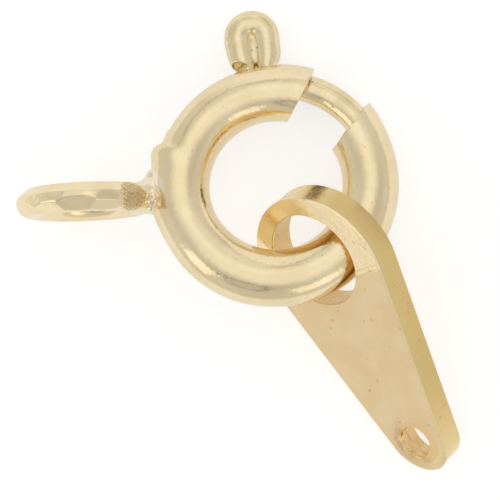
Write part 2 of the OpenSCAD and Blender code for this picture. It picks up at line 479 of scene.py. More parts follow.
def makeTube():
    s = tubeSize
    clearAll()
    bpy.ops.mesh.primitive_circle_add(
        vertices=s["sectionPoints"],
        radius=s["tubeRadius"],
        location=atRing(s["sweepFrom"], s["ringRadius"]),
        rotation=(math.pi / 2, 0, math.radians(s["sweepFrom"])),
    )
    tube = takeNew("ringTube")
    bakePlace(tube)
    edit(tube)
    bpy.ops.mesh.select_all(action="SELECT")
    # spin goes clockwise for a positive angle
    bpy.ops.mesh.spin(
        steps=s["steps"], angle=-math.radians(s["sweep"]), center=(0, 0, 0), axis=(0, 0, 1)
    )
    # trim both ends to the walls of the gap
    for point, outward, around in s["walls"]:
        pickFaces(tube, lambda middle, normal: abs(directionOf(middle) - around) < s["wallReach"])
        bpy.ops.mesh.bisect(plane_co=point, plane_no=outward, clear_outer=True)
    # the slot for the lever
    for end in ("slotFrom", "slotTo"):
        pickFaces(
            tube,
            lambda middle, normal: abs(directionOf(middle) - s[end]) < s["slotReach"]
            and abs(middle.z) < s["slotHalf"]
            and middle.xy.length > s["ringRadius"],
        )
        across = atRing(s[end] + 90, 1)
        onTop = atRing(s[end], s["ringRadius"] + s["tubeRadius"])
        bpy.ops.mesh.bisect(plane_co=onTop, plane_no=across)
    pickFaces(
        tube,
        lambda middle, normal: s["slotFrom"] < directionOf(middle) < s["slotTo"]
        and abs(middle.z) < s["slotHalf"]
        and middle.xy.length > s["ringRadius"],
    )
    bpy.ops.mesh.delete(type="FACE")
    bpy.ops.mesh.select_all(action="SELECT")
    bpy.ops.mesh.remove_doubles(threshold=sameSpot)
    bpy.ops.mesh.normals_make_consistent(inside=False)
    leave()
    shell = tube.modifiers.new("wall", "SOLIDIFY")
    shell.thickness = s["wall"]
    shell.offset = -1
    lips = tube.modifiers.new("lips", "BEVEL")
    lips.width = s["lip"]
    lips.segments = s["lipSteps"]
    lips.limit_method = "ANGLE"
    lips.angle_limit = math.radians(s["lipAngle"])
    bakeModifiers(tube)
    shapeOutside(tube)
    smooth(tube, s["shadeAngle"])
    return tube


def slices(marks):
    # steps round the ring between the marks, each with the mark's value at its middle
    step = tubeSize["sweep"] / tubeSize["steps"]
    turn = marks[0][0]
    while turn < marks[-1][0]:
        middle = min(turn + step / 2, marks[-1][0])
        before, after = next(pair for pair in zip(marks, marks[1:]) if middle <= pair[1][0])
        share = (middle - before[0]) / (after[0] - before[0])
        yield turn, turn + step, middle, before[1] + (after[1] - before[1]) * share
        turn += step


def shapeOutside(tube):
    # the outer half of the outside is drawn out for the collar and the flares, one slice after another
    s = tubeSize
    edit(tube)
    for name in ("collar", "rightFlare", "leftFlare"):
        for start, finish, middle, rise in slices(s[name]):

            def onOutside(point):
                out = point.xy.length - s["ringRadius"]
                away = math.hypot(out, point.z)
                inSlice = start <= directionOf(point) < finish
                return inSlice and out > -s["halfSlack"] and away > s["tubeRadius"] - s["skin"]

            pickPoints(tube, onOutside)
            bpy.ops.transform.translate(value=atRing(middle, rise))
    for start, finish, middle, share in slices(s["fuller"]):
        pickPoints(tube, lambda point: start <= directionOf(point) < finish)
        grow = 1 + share
        bpy.ops.transform.resize(value=(grow, grow, grow), center_override=atRing(middle, s["ringRadius"]))
    leave()


paleGold = makePaleGold()
tube = makeTube()
tube.data.materials.append(paleGold)
layDown(tube)
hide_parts("housing")
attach(tube, "clasp")
print("tube made")


# attachment ring and its solder

solderFinish = {
    "pale": (0.95, 0.806, 0.527, 1),
    "deep": (0.90, 0.747, 0.465, 1),
    "pit": tubeFinish["pit"],
    "pitShade": 0.3,
    "dentShare": 0.6,
    # the sugary patch: its middle, how far it reaches, and how its edge is frayed and faded
    "grain": (0.64, 0.43, 0.18, 1),
    "grainDark": (0.26, 0.15, 0.05, 1),
    "centre": (-3.35, -0.45, 0.98),
    "reach": 0.50,
    "fray": 0.16,
    "fade": 0.08,
    "rough": 0.48,
    "grainHeight": 0.014,
}


def makeSolderedGold():
    f = tubeFinish
    s = solderFinish
    material, tree, metal, local = startMaterial("soldered gold plate", ringCentre, ringTip)
    wear = useGroup(tree, castWear, local, Mottle_Size=2.2, Pit_Size=10.0, Pit_Share=0.06)
    grain = useGroup(tree, castWear, local, Mottle_Size=22.0, Pit_Size=26.0, Pit_Share=0.55)
    lines = useGroup(tree, fineScratches, local, Across=22.0, Along=2.0, Share=0.42)
    # the sugary patch where the solder stopped
    middle = tree.nodes.new("ShaderNodeVectorMath")
    middle.operation = "DISTANCE"
    middle.inputs[1].default_value = s["centre"]
    tree.links.new(local, middle.inputs[0])
    frayed = mathNode(tree, "MULTIPLY", grain.outputs["Mottle"], s["fray"])
    away = mathNode(tree, "ADD", middle.outputs["Value"], frayed)
    patch = remap(tree, away, s["reach"] - s["fade"], s["reach"], 1.0, 0.0)
    colour = mixColours(tree, wear.outputs["Mottle"], s["pale"], s["deep"])
    colour = darkenPits(tree, wear, colour, s)
    colour = palerBySolder(tree, local, colour)
    sugar = mixColours(tree, grain.outputs["Mottle"], s["grain"], f["pale"])
    sugar = mixColours(tree, grain.outputs["Pits"], sugar, s["grainDark"])
    tree.links.new(mixColours(tree, patch, colour, sugar), metal.inputs["Base Color"])
    rough = remap(tree, wear.outputs["Mottle"], 0.0, 1.0, f["roughLow"], f["roughHigh"])
    tree.links.new(remap(tree, patch, 0.0, 1.0, rough, s["rough"]), metal.inputs["Roughness"])
    normal = addBump(tree, wear.outputs["Height"], f["dentHeight"] * s["dentShare"])
    normal = addBump(tree, lines.outputs["Height"], f["scratchHeight"], normal)
    bumps = mathNode(tree, "MULTIPLY", grain.outputs["Height"], patch)
    normal = addBump(tree, bumps, s["grainHeight"], normal)
    tree.links.new(normal, metal.inputs["Normal"])
    return material


eyeSize = {
    "direction": 185.0,
    "centre": 4.68,
    "twist": -7.0,
    "turn": -1.9,
    "ringRadius": 1.345,
    "wireRadius": 0.355,
    "sectionPoints": 96,
    "steps": 320,
    "shadeAngle": 35,
    # flats worn all round: place round the wire, depth
    "bands": ((50, 0.036),),
    "bandReach": 1,
    # flats left by pliers: place round the ring, place round the wire, depth
    "flats": ((90, -34, 0.072), (64, -48, 0.046), (114, -46, 0.046), (48, 0, 0.030), (116, -4, 0.024),
              (88, 12, 0.016), (26, -40, 0.020), (252, -20, 0.030), (310, 24, 0.025), (285, -60, 0.028)),
    "flatReach": 0.8,
    # the solder's flare: distance from the ring's centre and radius
    "flare": ((2.78, 0.40), (2.86, 0.455), (2.94, 0.48), (3.02, 0.475), (3.10, 0.455), (3.19, 0.43),
              (3.29, 0.40), (3.39, 0.37), (3.50, 0.33), (3.62, 0.29)),
    "flarePoints": 48,
    # drops of solder that ran off: place and radius
    "drops": (((-2.95, -0.34, 0.43), 0.13), ((-3.00, -0.58, 0.16), 0.15), ((-2.99, 0.19, 0.06), 0.21),
              ((-3.10, 0.06, 0.04), 0.17)),
    "dropSegments": 24,
    "dropRings": 12,
    "grainSize": 0.019,
    "soften": 0.5,
    "softenTimes": 6,
}


def makeEye():
    s = eyeSize
    clearAll()
    bpy.ops.mesh.primitive_circle_add(
        vertices=s["sectionPoints"], radius=s["wireRadius"],
        location=(s["ringRadius"], 0, 0), rotation=(math.pi / 2, 0, 0),
    )
    ring = takeNew("attachmentRing")
    bakePlace(ring)
    edit(ring)
    for section, depth in s["bands"]:
        facing = Vector((math.cos(math.radians(section)), 0, math.sin(math.radians(section))))
        onBand = Vector((s["ringRadius"], 0, 0)) + facing * (s["wireRadius"] - depth)
        pressFlat(ring, onBand, facing, s["bandReach"])
    bpy.ops.mesh.select_all(action="SELECT")
    bpy.ops.mesh.spin(steps=s["steps"], angle=2 * math.pi, center=(0, 0, 0), axis=(0, 0, 1))
    bpy.ops.mesh.select_all(action="SELECT")
    bpy.ops.mesh.remove_doubles(threshold=sameSpot)
    bpy.ops.mesh.normals_make_consistent(inside=False)
    for around, section, depth in s["flats"]:
        out = Vector((math.cos(math.radians(around)), math.sin(math.radians(around)), 0))
        facing = out * math.cos(math.radians(section)) + Vector((0, 0, math.sin(math.radians(section))))
        onFlat = out * s["ringRadius"] + facing * (s["wireRadius"] - depth)
        pressFlat(ring, onFlat, facing, s["flatReach"])
    leave()
    place = atRing(s["direction"], s["centre"])
    ring.matrix_world = Matrix.Translation(place) @ Euler(
        (math.radians(90 + s["twist"]), 0, math.radians(s["direction"] + s["turn"]))
    ).to_matrix().to_4x4()
    bakePlace(ring)
    # solder flare, one loop after another
    outward = atRing(s["direction"], 1)
    first = s["flare"][0]
    bpy.ops.mesh.primitive_circle_add(
        vertices=s["flarePoints"], radius=first[1], fill_type="NGON",
        location=outward * first[0], rotation=(0, math.pi / 2, math.radians(s["direction"])),
    )
    flare = takeNew("solder")
    bakePlace(flare)
    edit(flare)
    bpy.ops.mesh.select_all(action="SELECT")
    for before, after in zip(s["flare"], s["flare"][1:]):
        bpy.ops.mesh.extrude_region_move(
            TRANSFORM_OT_translate={"value": outward * (after[0] - before[0])}
        )
        grow = after[1] / before[1]
        bpy.ops.transform.resize(value=(grow, grow, grow), center_override=outward * after[0])
    bpy.ops.mesh.select_all(action="SELECT")
    bpy.ops.mesh.normals_make_consistent(inside=False)
    leave()
    parts = [flare]
    for place, radius in s["drops"]:
        clearAll()
        bpy.ops.mesh.primitive_uv_sphere_add(
            segments=s["dropSegments"], ring_count=s["dropRings"], radius=radius, location=place
        )
        drop = takeNew("drop")
        bakePlace(drop)
        parts.append(drop)
    solder = joinAll(parts)
    weld = solder.modifiers.new("weld", "REMESH")
    weld.mode = "VOXEL"
    weld.voxel_size = s["grainSize"]
    soften = solder.modifiers.new("soften", "SMOOTH")
    soften.factor = s["soften"]
    soften.iterations = s["softenTimes"]
    bakeModifiers(solder)
    eye = joinAll([ring, solder])
    smooth(eye, s["shadeAngle"])
    return eye


solderedGold = makeSolderedGold()
eye = makeEye()
eye.data.materials.append(solderedGold)
layDown(eye)
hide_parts("housing")
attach(eye, "clasp")
print("attachment ring made")


# bolt and thumb lever

boltFinish = {
    "pale": (0.90, 0.77, 0.50, 1),
    "deep": (0.82, 0.68, 0.41, 1),
    "pit": (0.36, 0.26, 0.12, 1),
    "pitShade": 0.7,
    "roughLow": 0.09,
    "roughHigh": 0.20,
    "dentHeight": 0.003,
    "drawnHeight": 0.006,
    "pitHeight": 0.0009,
}


def makeBoltGold():
    f = boltFinish
    material, tree, metal, local = startMaterial("bolt gold plate", ringCentre, ringTip)
    ring = useGroup(tree, ringCoords, local, Ring_Radius=boltSize["ringRadius"])
    wear = useGroup(tree, castWear, local, Mottle_Size=2.4, Pit_Size=8.0, Pit_Share=0.16)
    dust = useGroup(tree, castWear, local, Mottle_Size=12.0, Pit_Size=22.0, Pit_Share=0.20)
    bent = joinVector(tree, ring.outputs["Along"], ring.outputs["Out"], ring.outputs["Up"])
    drawn = useGroup(tree, fineScratches, bent, Across=9.0, Along=0.5, Share=0.45)
    colour = mixColours(tree, wear.outputs["Mottle"], f["pale"], f["deep"])
    colour = darkenPits(tree, wear, colour, f)
    tree.links.new(colour, metal.inputs["Base Color"])
    rough = remap(tree, dust.outputs["Mottle"], 0.0, 1.0, f["roughLow"], f["roughHigh"])
    tree.links.new(rough, metal.inputs["Roughness"])
    normal = addBump(tree, wear.outputs["Height"], f["dentHeight"])
    normal = addBump(tree, drawn.outputs["Height"], f["drawnHeight"], normal)
    normal = addBump(tree, dust.outputs["Height"], f["pitHeight"], normal)
    tree.links.new(normal, metal.inputs["Normal"])
    return material


boltSize = {
    "ringRadius": 2.533,
    "wireRadius": 0.337,
    "sectionPoints": 40,
    "tipAt": 33.5,
    "tailAt": 113.9,
    "steps": 64,
    "dome": ((0.10, 0.93), (0.09, 0.80), (0.07, 0.60), (0.03, 0.30)),
    "leverAt": 99.9,
    "arcAt": 3.78,
    "legOffset": 0.345,
    "legHalf": 0.345,
    "legDepth": 0.315,
    "legPoints": 20,
    "arcSteps": 18,
    # how near to the arc's end its rim is looked for
    "rimReach": 0.01,
    "rounds": 2,
    # down each leg: distance from the ring's centre, offset from the middle, half width, half depth
    "stations": ((3.66, 0.347, 0.344, 0.315), (3.54, 0.345, 0.341, 0.315), (3.42, 0.339, 0.334, 0.312),
                 (3.32, 0.334, 0.331, 0.308), (3.20, 0.322, 0.318, 0.300), (3.10, 0.300, 0.298, 0.290),
                 (3.03, 0.272, 0.271, 0.275), (2.97, 0.258, 0.257, 0.265), (2.80, 0.250, 0.252, 0.270),
                 (2.52, 0.240, 0.260, 0.280)),
    # the metal that fills the eye between the legs: middle and half sizes
    "web": ((0, 3.46, 0), (0.27, 0.50, 0.250)),
    "webSegments": 32,
    "webRings": 20,
    # hollows at the foot: a point, the direction it faces and its reach
    "hollows": (((-0.39, 3.08, 0.16), (-0.35, -0.80, 0.48), 0.22),),
    "shadeAngle": 50,
}


def roundEnd(piece, picked, along, steps):
    # draws the picked rim into a dome, then closes it
    pickRims(piece, picked)
    for advance, shrink in steps:
        bpy.ops.mesh.extrude_region_move(TRANSFORM_OT_translate={"value": along * advance})
        points = [v.co for v in bmesh.from_edit_mesh(piece.data).verts if v.select]
        middle = sum(points, Vector()) / len(points)
        bpy.ops.transform.resize(value=(shrink, shrink, shrink), center_override=middle)
    bpy.ops.mesh.edge_face_add()


def makeBolt():
    s = boltSize
    clearAll()
    bpy.ops.mesh.primitive_circle_add(
        vertices=s["sectionPoints"],
        radius=s["wireRadius"],
        location=atRing(s["tipAt"], s["ringRadius"]),
        rotation=(math.pi / 2, 0, math.radians(s["tipAt"])),
    )
    bolt = takeNew("bolt_wire")
    bakePlace(bolt)
    edit(bolt)
    bpy.ops.mesh.select_all(action="SELECT")
    bpy.ops.mesh.spin(
        steps=s["steps"],
        angle=math.radians(s["tipAt"] - s["tailAt"]),
        center=(0, 0, 0),
        axis=(0, 0, 1),
    )
    middleAt = (s["tipAt"] + s["tailAt"]) / 2
    roundEnd(bolt, lambda point: directionOf(point) < middleAt, atRing(s["tipAt"] - 90, 1), s["dome"])
    roundEnd(bolt, lambda point: directionOf(point) > middleAt, atRing(s["tailAt"] + 90, 1), s["dome"])
    leave()
    tidyFaces(bolt)

    # the lever is drawn pointing up +Y, then turned to its place
    clearAll()
    bpy.ops.mesh.primitive_circle_add(
        vertices=s["legPoints"],
        radius=s["legHalf"],
        location=(s["legOffset"], s["arcAt"], 0),
        rotation=(math.pi / 2, 0, 0),
    )
    lever = takeNew("lever")
    lever.scale = (1, s["legDepth"] / s["legHalf"], 1)
    bakePlace(lever)
    edit(lever)
    bpy.ops.mesh.select_all(action="SELECT")
    bpy.ops.mesh.spin(steps=s["arcSteps"], angle=-math.pi, center=(0, s["arcAt"], 0), axis=(0, 0, 1))
    for side in (-1, 1):
        pickRims(
            lever,
            lambda point: point.x * side > -sameSpot and abs(point.y - s["arcAt"]) < s["rimReach"],
        )
        distance, offset, half, depth = s["arcAt"], s["legOffset"], s["legHalf"], s["legDepth"]
        for station in s["stations"]:
            step = Vector((side * (station[1] - offset), station[0] - distance, 0))
            bpy.ops.mesh.extrude_region_move(TRANSFORM_OT_translate={"value": step})
            bpy.ops.transform.resize(
                value=(station[2] / half, 1, station[3] / depth),
                center_override=(side * station[1], station[0], 0),
            )
            distance, offset, half, depth = station
        bpy.ops.mesh.edge_face_add()
    leave()
    tidyFaces(lever)
    rounder = lever.modifiers.new("rounder", "SUBSURF")
    rounder.levels = s["rounds"]
    rounder.render_levels = s["rounds"]
    bakeModifiers(lever)
    edit(lever)
    for onFlat, facing, reach in s["hollows"]:
        pressFlat(lever, Vector(onFlat), Vector(facing).normalized(), reach)
    leave()
    clearAll()
    bpy.ops.mesh.primitive_uv_sphere_add(
        segments=s["webSegments"], ring_count=s["webRings"], radius=1, location=s["web"][0]
    )
    web = takeNew("web")
    web.scale = s["web"][1]
    bakePlace(web)
    lever = joinAll([lever, web])
    lever.rotation_euler = (0, 0, math.radians(s["leverAt"] - 90))
    bakePlace(lever)
    bolt = joinAll([bolt, lever])
    smooth(bolt, s["shadeAngle"])
    return bolt


boltGold = makeBoltGold()
bolt = makeBolt()
bolt.data.materials.append(boltGold)
layDown(bolt)
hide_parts("bolt")
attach(bolt, "bolt")
print("bolt and lever made")


# coil spring

springFinish = {
    "pale": (0.60, 0.60, 0.61, 1),
    "deep": (0.42, 0.42, 0.44, 1),
    "roughLow": 0.22,
    "roughHigh": 0.42,
    "dentHeight": 0.002,
}

springSize = {
    "coilRadius": 0.405,
    "wireRadius": 0.055,
    "sectionPoints": 10,
    "shadeAngle": 60,
    "turns": 15,
    "stepsATurn": 22,
    "ringRadius": 2.31,
    "from": 115.9,
    "to": 232.0,
}


def makeSteel():
    f = springFinish
    material, tree, metal, local = startMaterial("spring wire", ringCentre, ringTip)
    wear = useGroup(tree, castWear, local, Mottle_Size=6.0, Pit_Size=20.0, Pit_Share=0.1)
    lines = useGroup(tree, fineScratches, local, Across=30.0, Along=4.0, Share=0.4)
    colour = mixColours(tree, wear.outputs["Mottle"], f["pale"], f["deep"])
    tree.links.new(colour, metal.inputs["Base Color"])
    rough = remap(tree, lines.outputs["Mask"], 0.0, 1.0, f["roughLow"], f["roughHigh"])
    tree.links.new(rough, metal.inputs["Roughness"])
    tree.links.new(addBump(tree, wear.outputs["Height"], f["dentHeight"]), metal.inputs["Normal"])
    return material


def makeSpring():
    s = springSize
    length = s["ringRadius"] * math.radians(s["to"] - s["from"])
    clearAll()
    bpy.ops.mesh.primitive_circle_add(
        vertices=s["sectionPoints"], radius=s["wireRadius"],
        location=(s["coilRadius"], 0, 0), rotation=(math.pi / 2, 0, 0),
    )
    spring = takeNew("coilSpring")
    bakePlace(spring)
    coil = spring.modifiers.new("coil", "SCREW")
    coil.angle = 2 * math.pi
    coil.screw_offset = length / s["turns"]
    coil.iterations = s["turns"]
    coil.steps = s["stepsATurn"]
    coil.render_steps = s["stepsATurn"]
    bakeModifiers(spring)
    edit(spring)
    for low in (True, False):
        pickRims(spring, lambda point: (point.z < length / 2) == low)
        bpy.ops.mesh.edge_face_add()
    leave()
    # lay it along X about zero, bend it round the ring, and turn it to its place
    spring.rotation_euler = (0, math.pi / 2, 0)
    spring.location = (-length / 2, 0, 0)
    bakePlace(spring)
    bow = spring.modifiers.new("bow", "SIMPLE_DEFORM")
    bow.deform_method = "BEND"
    bow.deform_axis = "Z"
    bow.angle = math.radians(s["to"] - s["from"])
    bakeModifiers(spring)
    spring.location = (0, -s["ringRadius"], 0)
    bakePlace(spring)
    spring.rotation_euler = (0, 0, math.radians((s["from"] + s["to"]) / 2 - 270))
    bakePlace(spring)
    tidyFaces(spring)
    smooth(spring, s["shadeAngle"])
    return spring


steel = makeSteel()
spring = makeSpring()
spring.data.materials.append(steel)
layDown(spring)
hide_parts("spring")
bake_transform(spring)
print("spring made")


# tag

# where the big hole's middle is in the ring's frame, in millimetres, and how the tag is turned there
tagPlace = Matrix.Translation((0.948, -1.908, 0.199)) @ Euler(
    [math.radians(a) for a in (51.0, 23.8, -60.4)]
).to_matrix().to_4x4()

tagFinish = {
    "polishedLitFace": (0.98, 0.80, 0.49, 1),
    # the head's polished face, its colour painted brighter for the reflection it catches
    "satin": (0.87, 0.69, 0.412, 1),
    "satinDeep": (0.825, 0.64, 0.362, 1),
    "burnished": (0.67, 0.525, 0.235, 1),
    "torn": (0.69, 0.51, 0.215, 1),
    "sideLow": (0.63, 0.455, 0.175, 1),
    "worn": (0.82, 0.60, 0.34, 1),
    # painted light: the sides' colour where they are painted paler as if lit
    "litSide": (0.98, 0.79, 0.42, 1),
    # painted shade on the walls of the holes
    "shadedHoleWall": (0.80, 0.56, 0.27, 1),
    "pit": (0.55, 0.36, 0.13, 1),
    "pitShade": 0.45,
    # where each finish starts and is full: the face by height, the satin and the darker side along the
    # tag, the torn metal by height, and the side painted paler as if lit, across it
    "face": (-0.05, -0.035),
    "satinStarts": (0.62, 0.67),
    "sideDarkens": (2.2, 4.8),
    "tornBelow": (-0.24, -0.20),
    "litSideAcross": (0.5, 1.4),
    # how far from each hole's middle the painted shade on its wall ends
    "bigWallShade": (1.25, 1.30),
    "smallWallShade": (0.64, 0.66),
    # the worn place: how far it reaches from the small hole's middle, its side, and how strong it is
    "wornReach": (0.72, 0.92),
    "wornSide": (-0.15, 0.25),
    "wornMost": 0.7,
    "polish": 0.12,
    "satinRough": 0.34,
    "sideRough": 0.22,
    "dustRough": 0.06,
    "dentHeight": 0.004,
    "scratchHeight": 0.0008,
    "dustHeight": 0.0004,
}


tagSize = {
    "thick": 0.71,
    "headAt": (0.20, 0.055),
    "headRadius": 1.885,
    "tailAt": (5.235, 0.115),
    "tailRadius": 0.815,
    "headPoints": 180,
    "tailPoints": 120,
    # halfway along, and how near to its tangent each arc's loose end is, in degrees
    "halfway": 2.5,
    "headEnd": 2.0,
    "tailEnd": 3.0,
    # the tail's end is drawn out along a slant, in shares of its radius, and in again towards the back
    "skewSlant": 45,
    "tailSkew": 0.09,
    "backSkew": 0.06,
    "backSkewFrom": 5.0,
    "backSkewBelow": 0.3,
    "holeRadius": 1.23,
    "holePoints": 144,
    "tailHoleAt": (5.25, 0.19),
    "tailHolePoints": 72,
    # the small hole's stepped wall: depth, radius and how far its middle is shifted; a burr narrows it
    "tailHole": ((0.0, 0.70, 0), (-0.05, 0.59, -0.04), (-0.09, 0.43, -0.17), (-0.11, 0.43, -0.17),
                 (-0.15, 0.56, 0), (-0.24, 0.560, 0), (-0.27, 0.595, 0), (-0.34, 0.597, 0),
                 (-0.37, 0.562, 0), (-0.60, 0.560, 0), (-0.66, 0.602, 0), (-0.71, 0.70, 0)),
    "shearDepth": 0.22,
    "shearStep": 0.030,
    # how far from a level its points are looked for, and how far round each hole's rim
    "levelReach": 0.06,
    "holeRim": 0.02,
    "tailHoleRim": 0.015,
    "edge": 0.028,
    "edgeSteps": 3,
    "edgeAngle": 60,
    # cuts nearer than this are one, so that they leave the edges' rounding its width
    "cutsApart": 0.018,
    "flatAngle": 1,
    "shadeAngle": 14,
    # two struck lines across the rim: where each starts at the hole and ends at the edge
    "strikes": (((0.545, 1.10), (0.493, 1.95)), ((0.690, 1.02), (0.602, 1.95))),
    "strikeHalf": 0.026,
    "strikeRise": 0.022,
    "strikeSide": 0.6,
    "strikeSlack": 0.002,
    "rimSlack": 0.01,
}


def makeWarmGold():
    f = tagFinish
    whole = ringToWorld @ tagPlace
    material, tree, metal, local = startMaterial(
        "warm gold plate", whole.to_translation(), whole.to_euler()
    )
    parts = tree.nodes.new("ShaderNodeSeparateXYZ")
    tree.links.new(local, parts.inputs[0])
    wear = useGroup(tree, castWear, local, Mottle_Size=1.1, Pit_Size=5.0, Pit_Share=0.16)
    dust = useGroup(tree, castWear, local, Mottle_Size=10.0, Pit_Size=16.0, Pit_Share=0.14)
    lines = useGroup(tree, fineScratches, local, Across=18.0, Along=2.5, Share=0.40)
    onFace = remap(tree, parts.outputs[2], *f["face"])
    onBody = remap(tree, parts.outputs[0], *f["satinStarts"])
    satin = mathNode(tree, "MULTIPLY", onFace, onBody)
    body = mixColours(tree, wear.outputs["Mottle"], f["satin"], f["satinDeep"])
    # the sides: a burnished strip under the face, then the torn metal, with painted light making them
    # paler round the left of the head
    torn = remap(tree, parts.outputs[2], *f["tornBelow"], 1.0, 0.0)
    side = mixColours(tree, torn, f["burnished"], f["torn"])
    side = mixColours(tree, remap(tree, parts.outputs[0], *f["sideDarkens"]), side, f["sideLow"])
    side = mixColours(tree, remap(tree, parts.outputs[1], *f["litSideAcross"], 1.0, 0.0), side, f["litSide"])
    flat = joinVector(tree, parts.outputs[0], parts.outputs[1], 0)
    fromHole, fromTail = (tree.nodes.new("ShaderNodeVectorMath") for _ in range(2))
    for node, at in ((fromHole, (0, 0)), (fromTail, tagSize["tailHoleAt"])):
        node.operation = "DISTANCE"
        node.inputs[1].default_value = (*at, 0)
        tree.links.new(flat, node.inputs[0])
    # the walls of both holes are painted darker, as shade
    holeShade = remap(tree, fromHole.outputs["Value"], *f["bigWallShade"], 1.0, 0.0)
    tailHoleShade = remap(tree, fromTail.outputs["Value"], *f["smallWallShade"], 1.0, 0.0)
    holeShade = mathNode(tree, "MAXIMUM", holeShade, tailHoleShade)
    side = mixColours(tree, holeShade, side, f["shadedHoleWall"])
    # the face takes the polished colour, painted brighter as a reflection
    colour = mixColours(tree, onFace, side, f["polishedLitFace"])
    colour = mixColours(tree, satin, colour, body)
    # handling has worn the tail warmer on the near side of its hole
    wornBy = remap(tree, fromTail.outputs["Value"], *f["wornReach"], f["wornMost"], 0.0)
    wornSide = remap(tree, parts.outputs[1], *f["wornSide"], 1.0, 0.0)
    wornBy = mathNode(tree, "MULTIPLY", wornBy, wornSide)
    colour = mixColours(tree, mathNode(tree, "MULTIPLY", wornBy, onFace), colour, f["worn"])
    colour = darkenPits(tree, wear, colour, f)
    tree.links.new(colour, metal.inputs["Base Color"])
    base = remap(tree, onFace, 0.0, 1.0, f["sideRough"], f["polish"])
    rough = remap(tree, satin, 0.0, 1.0, base, f["satinRough"])
    dusty = mathNode(tree, "MULTIPLY", dust.outputs["Mottle"], f["dustRough"])
    rough = mathNode(tree, "ADD", rough, dusty)
    tree.links.new(rough, metal.inputs["Roughness"])
    normal = addBump(tree, wear.outputs["Height"], f["dentHeight"])
    normal = addBump(tree, lines.outputs["Height"], f["scratchHeight"], normal)
    normal = addBump(tree, dust.outputs["Height"], f["dustHeight"], normal)
    tree.links.new(normal, metal.inputs["Normal"])
    return material


def skewTail(share):
    # draws what is picked out along one slant and in along the other
    bpy.ops.transform.resize(
        value=(1 + share, 1 - share, 1),
        orient_matrix=Matrix.Rotation(math.radians(tagSize["skewSlant"]), 3, "Z"),
        orient_type="GLOBAL",
        orient_matrix_type="GLOBAL",
        center_override=(*tagSize["tailAt"], 0),
    )


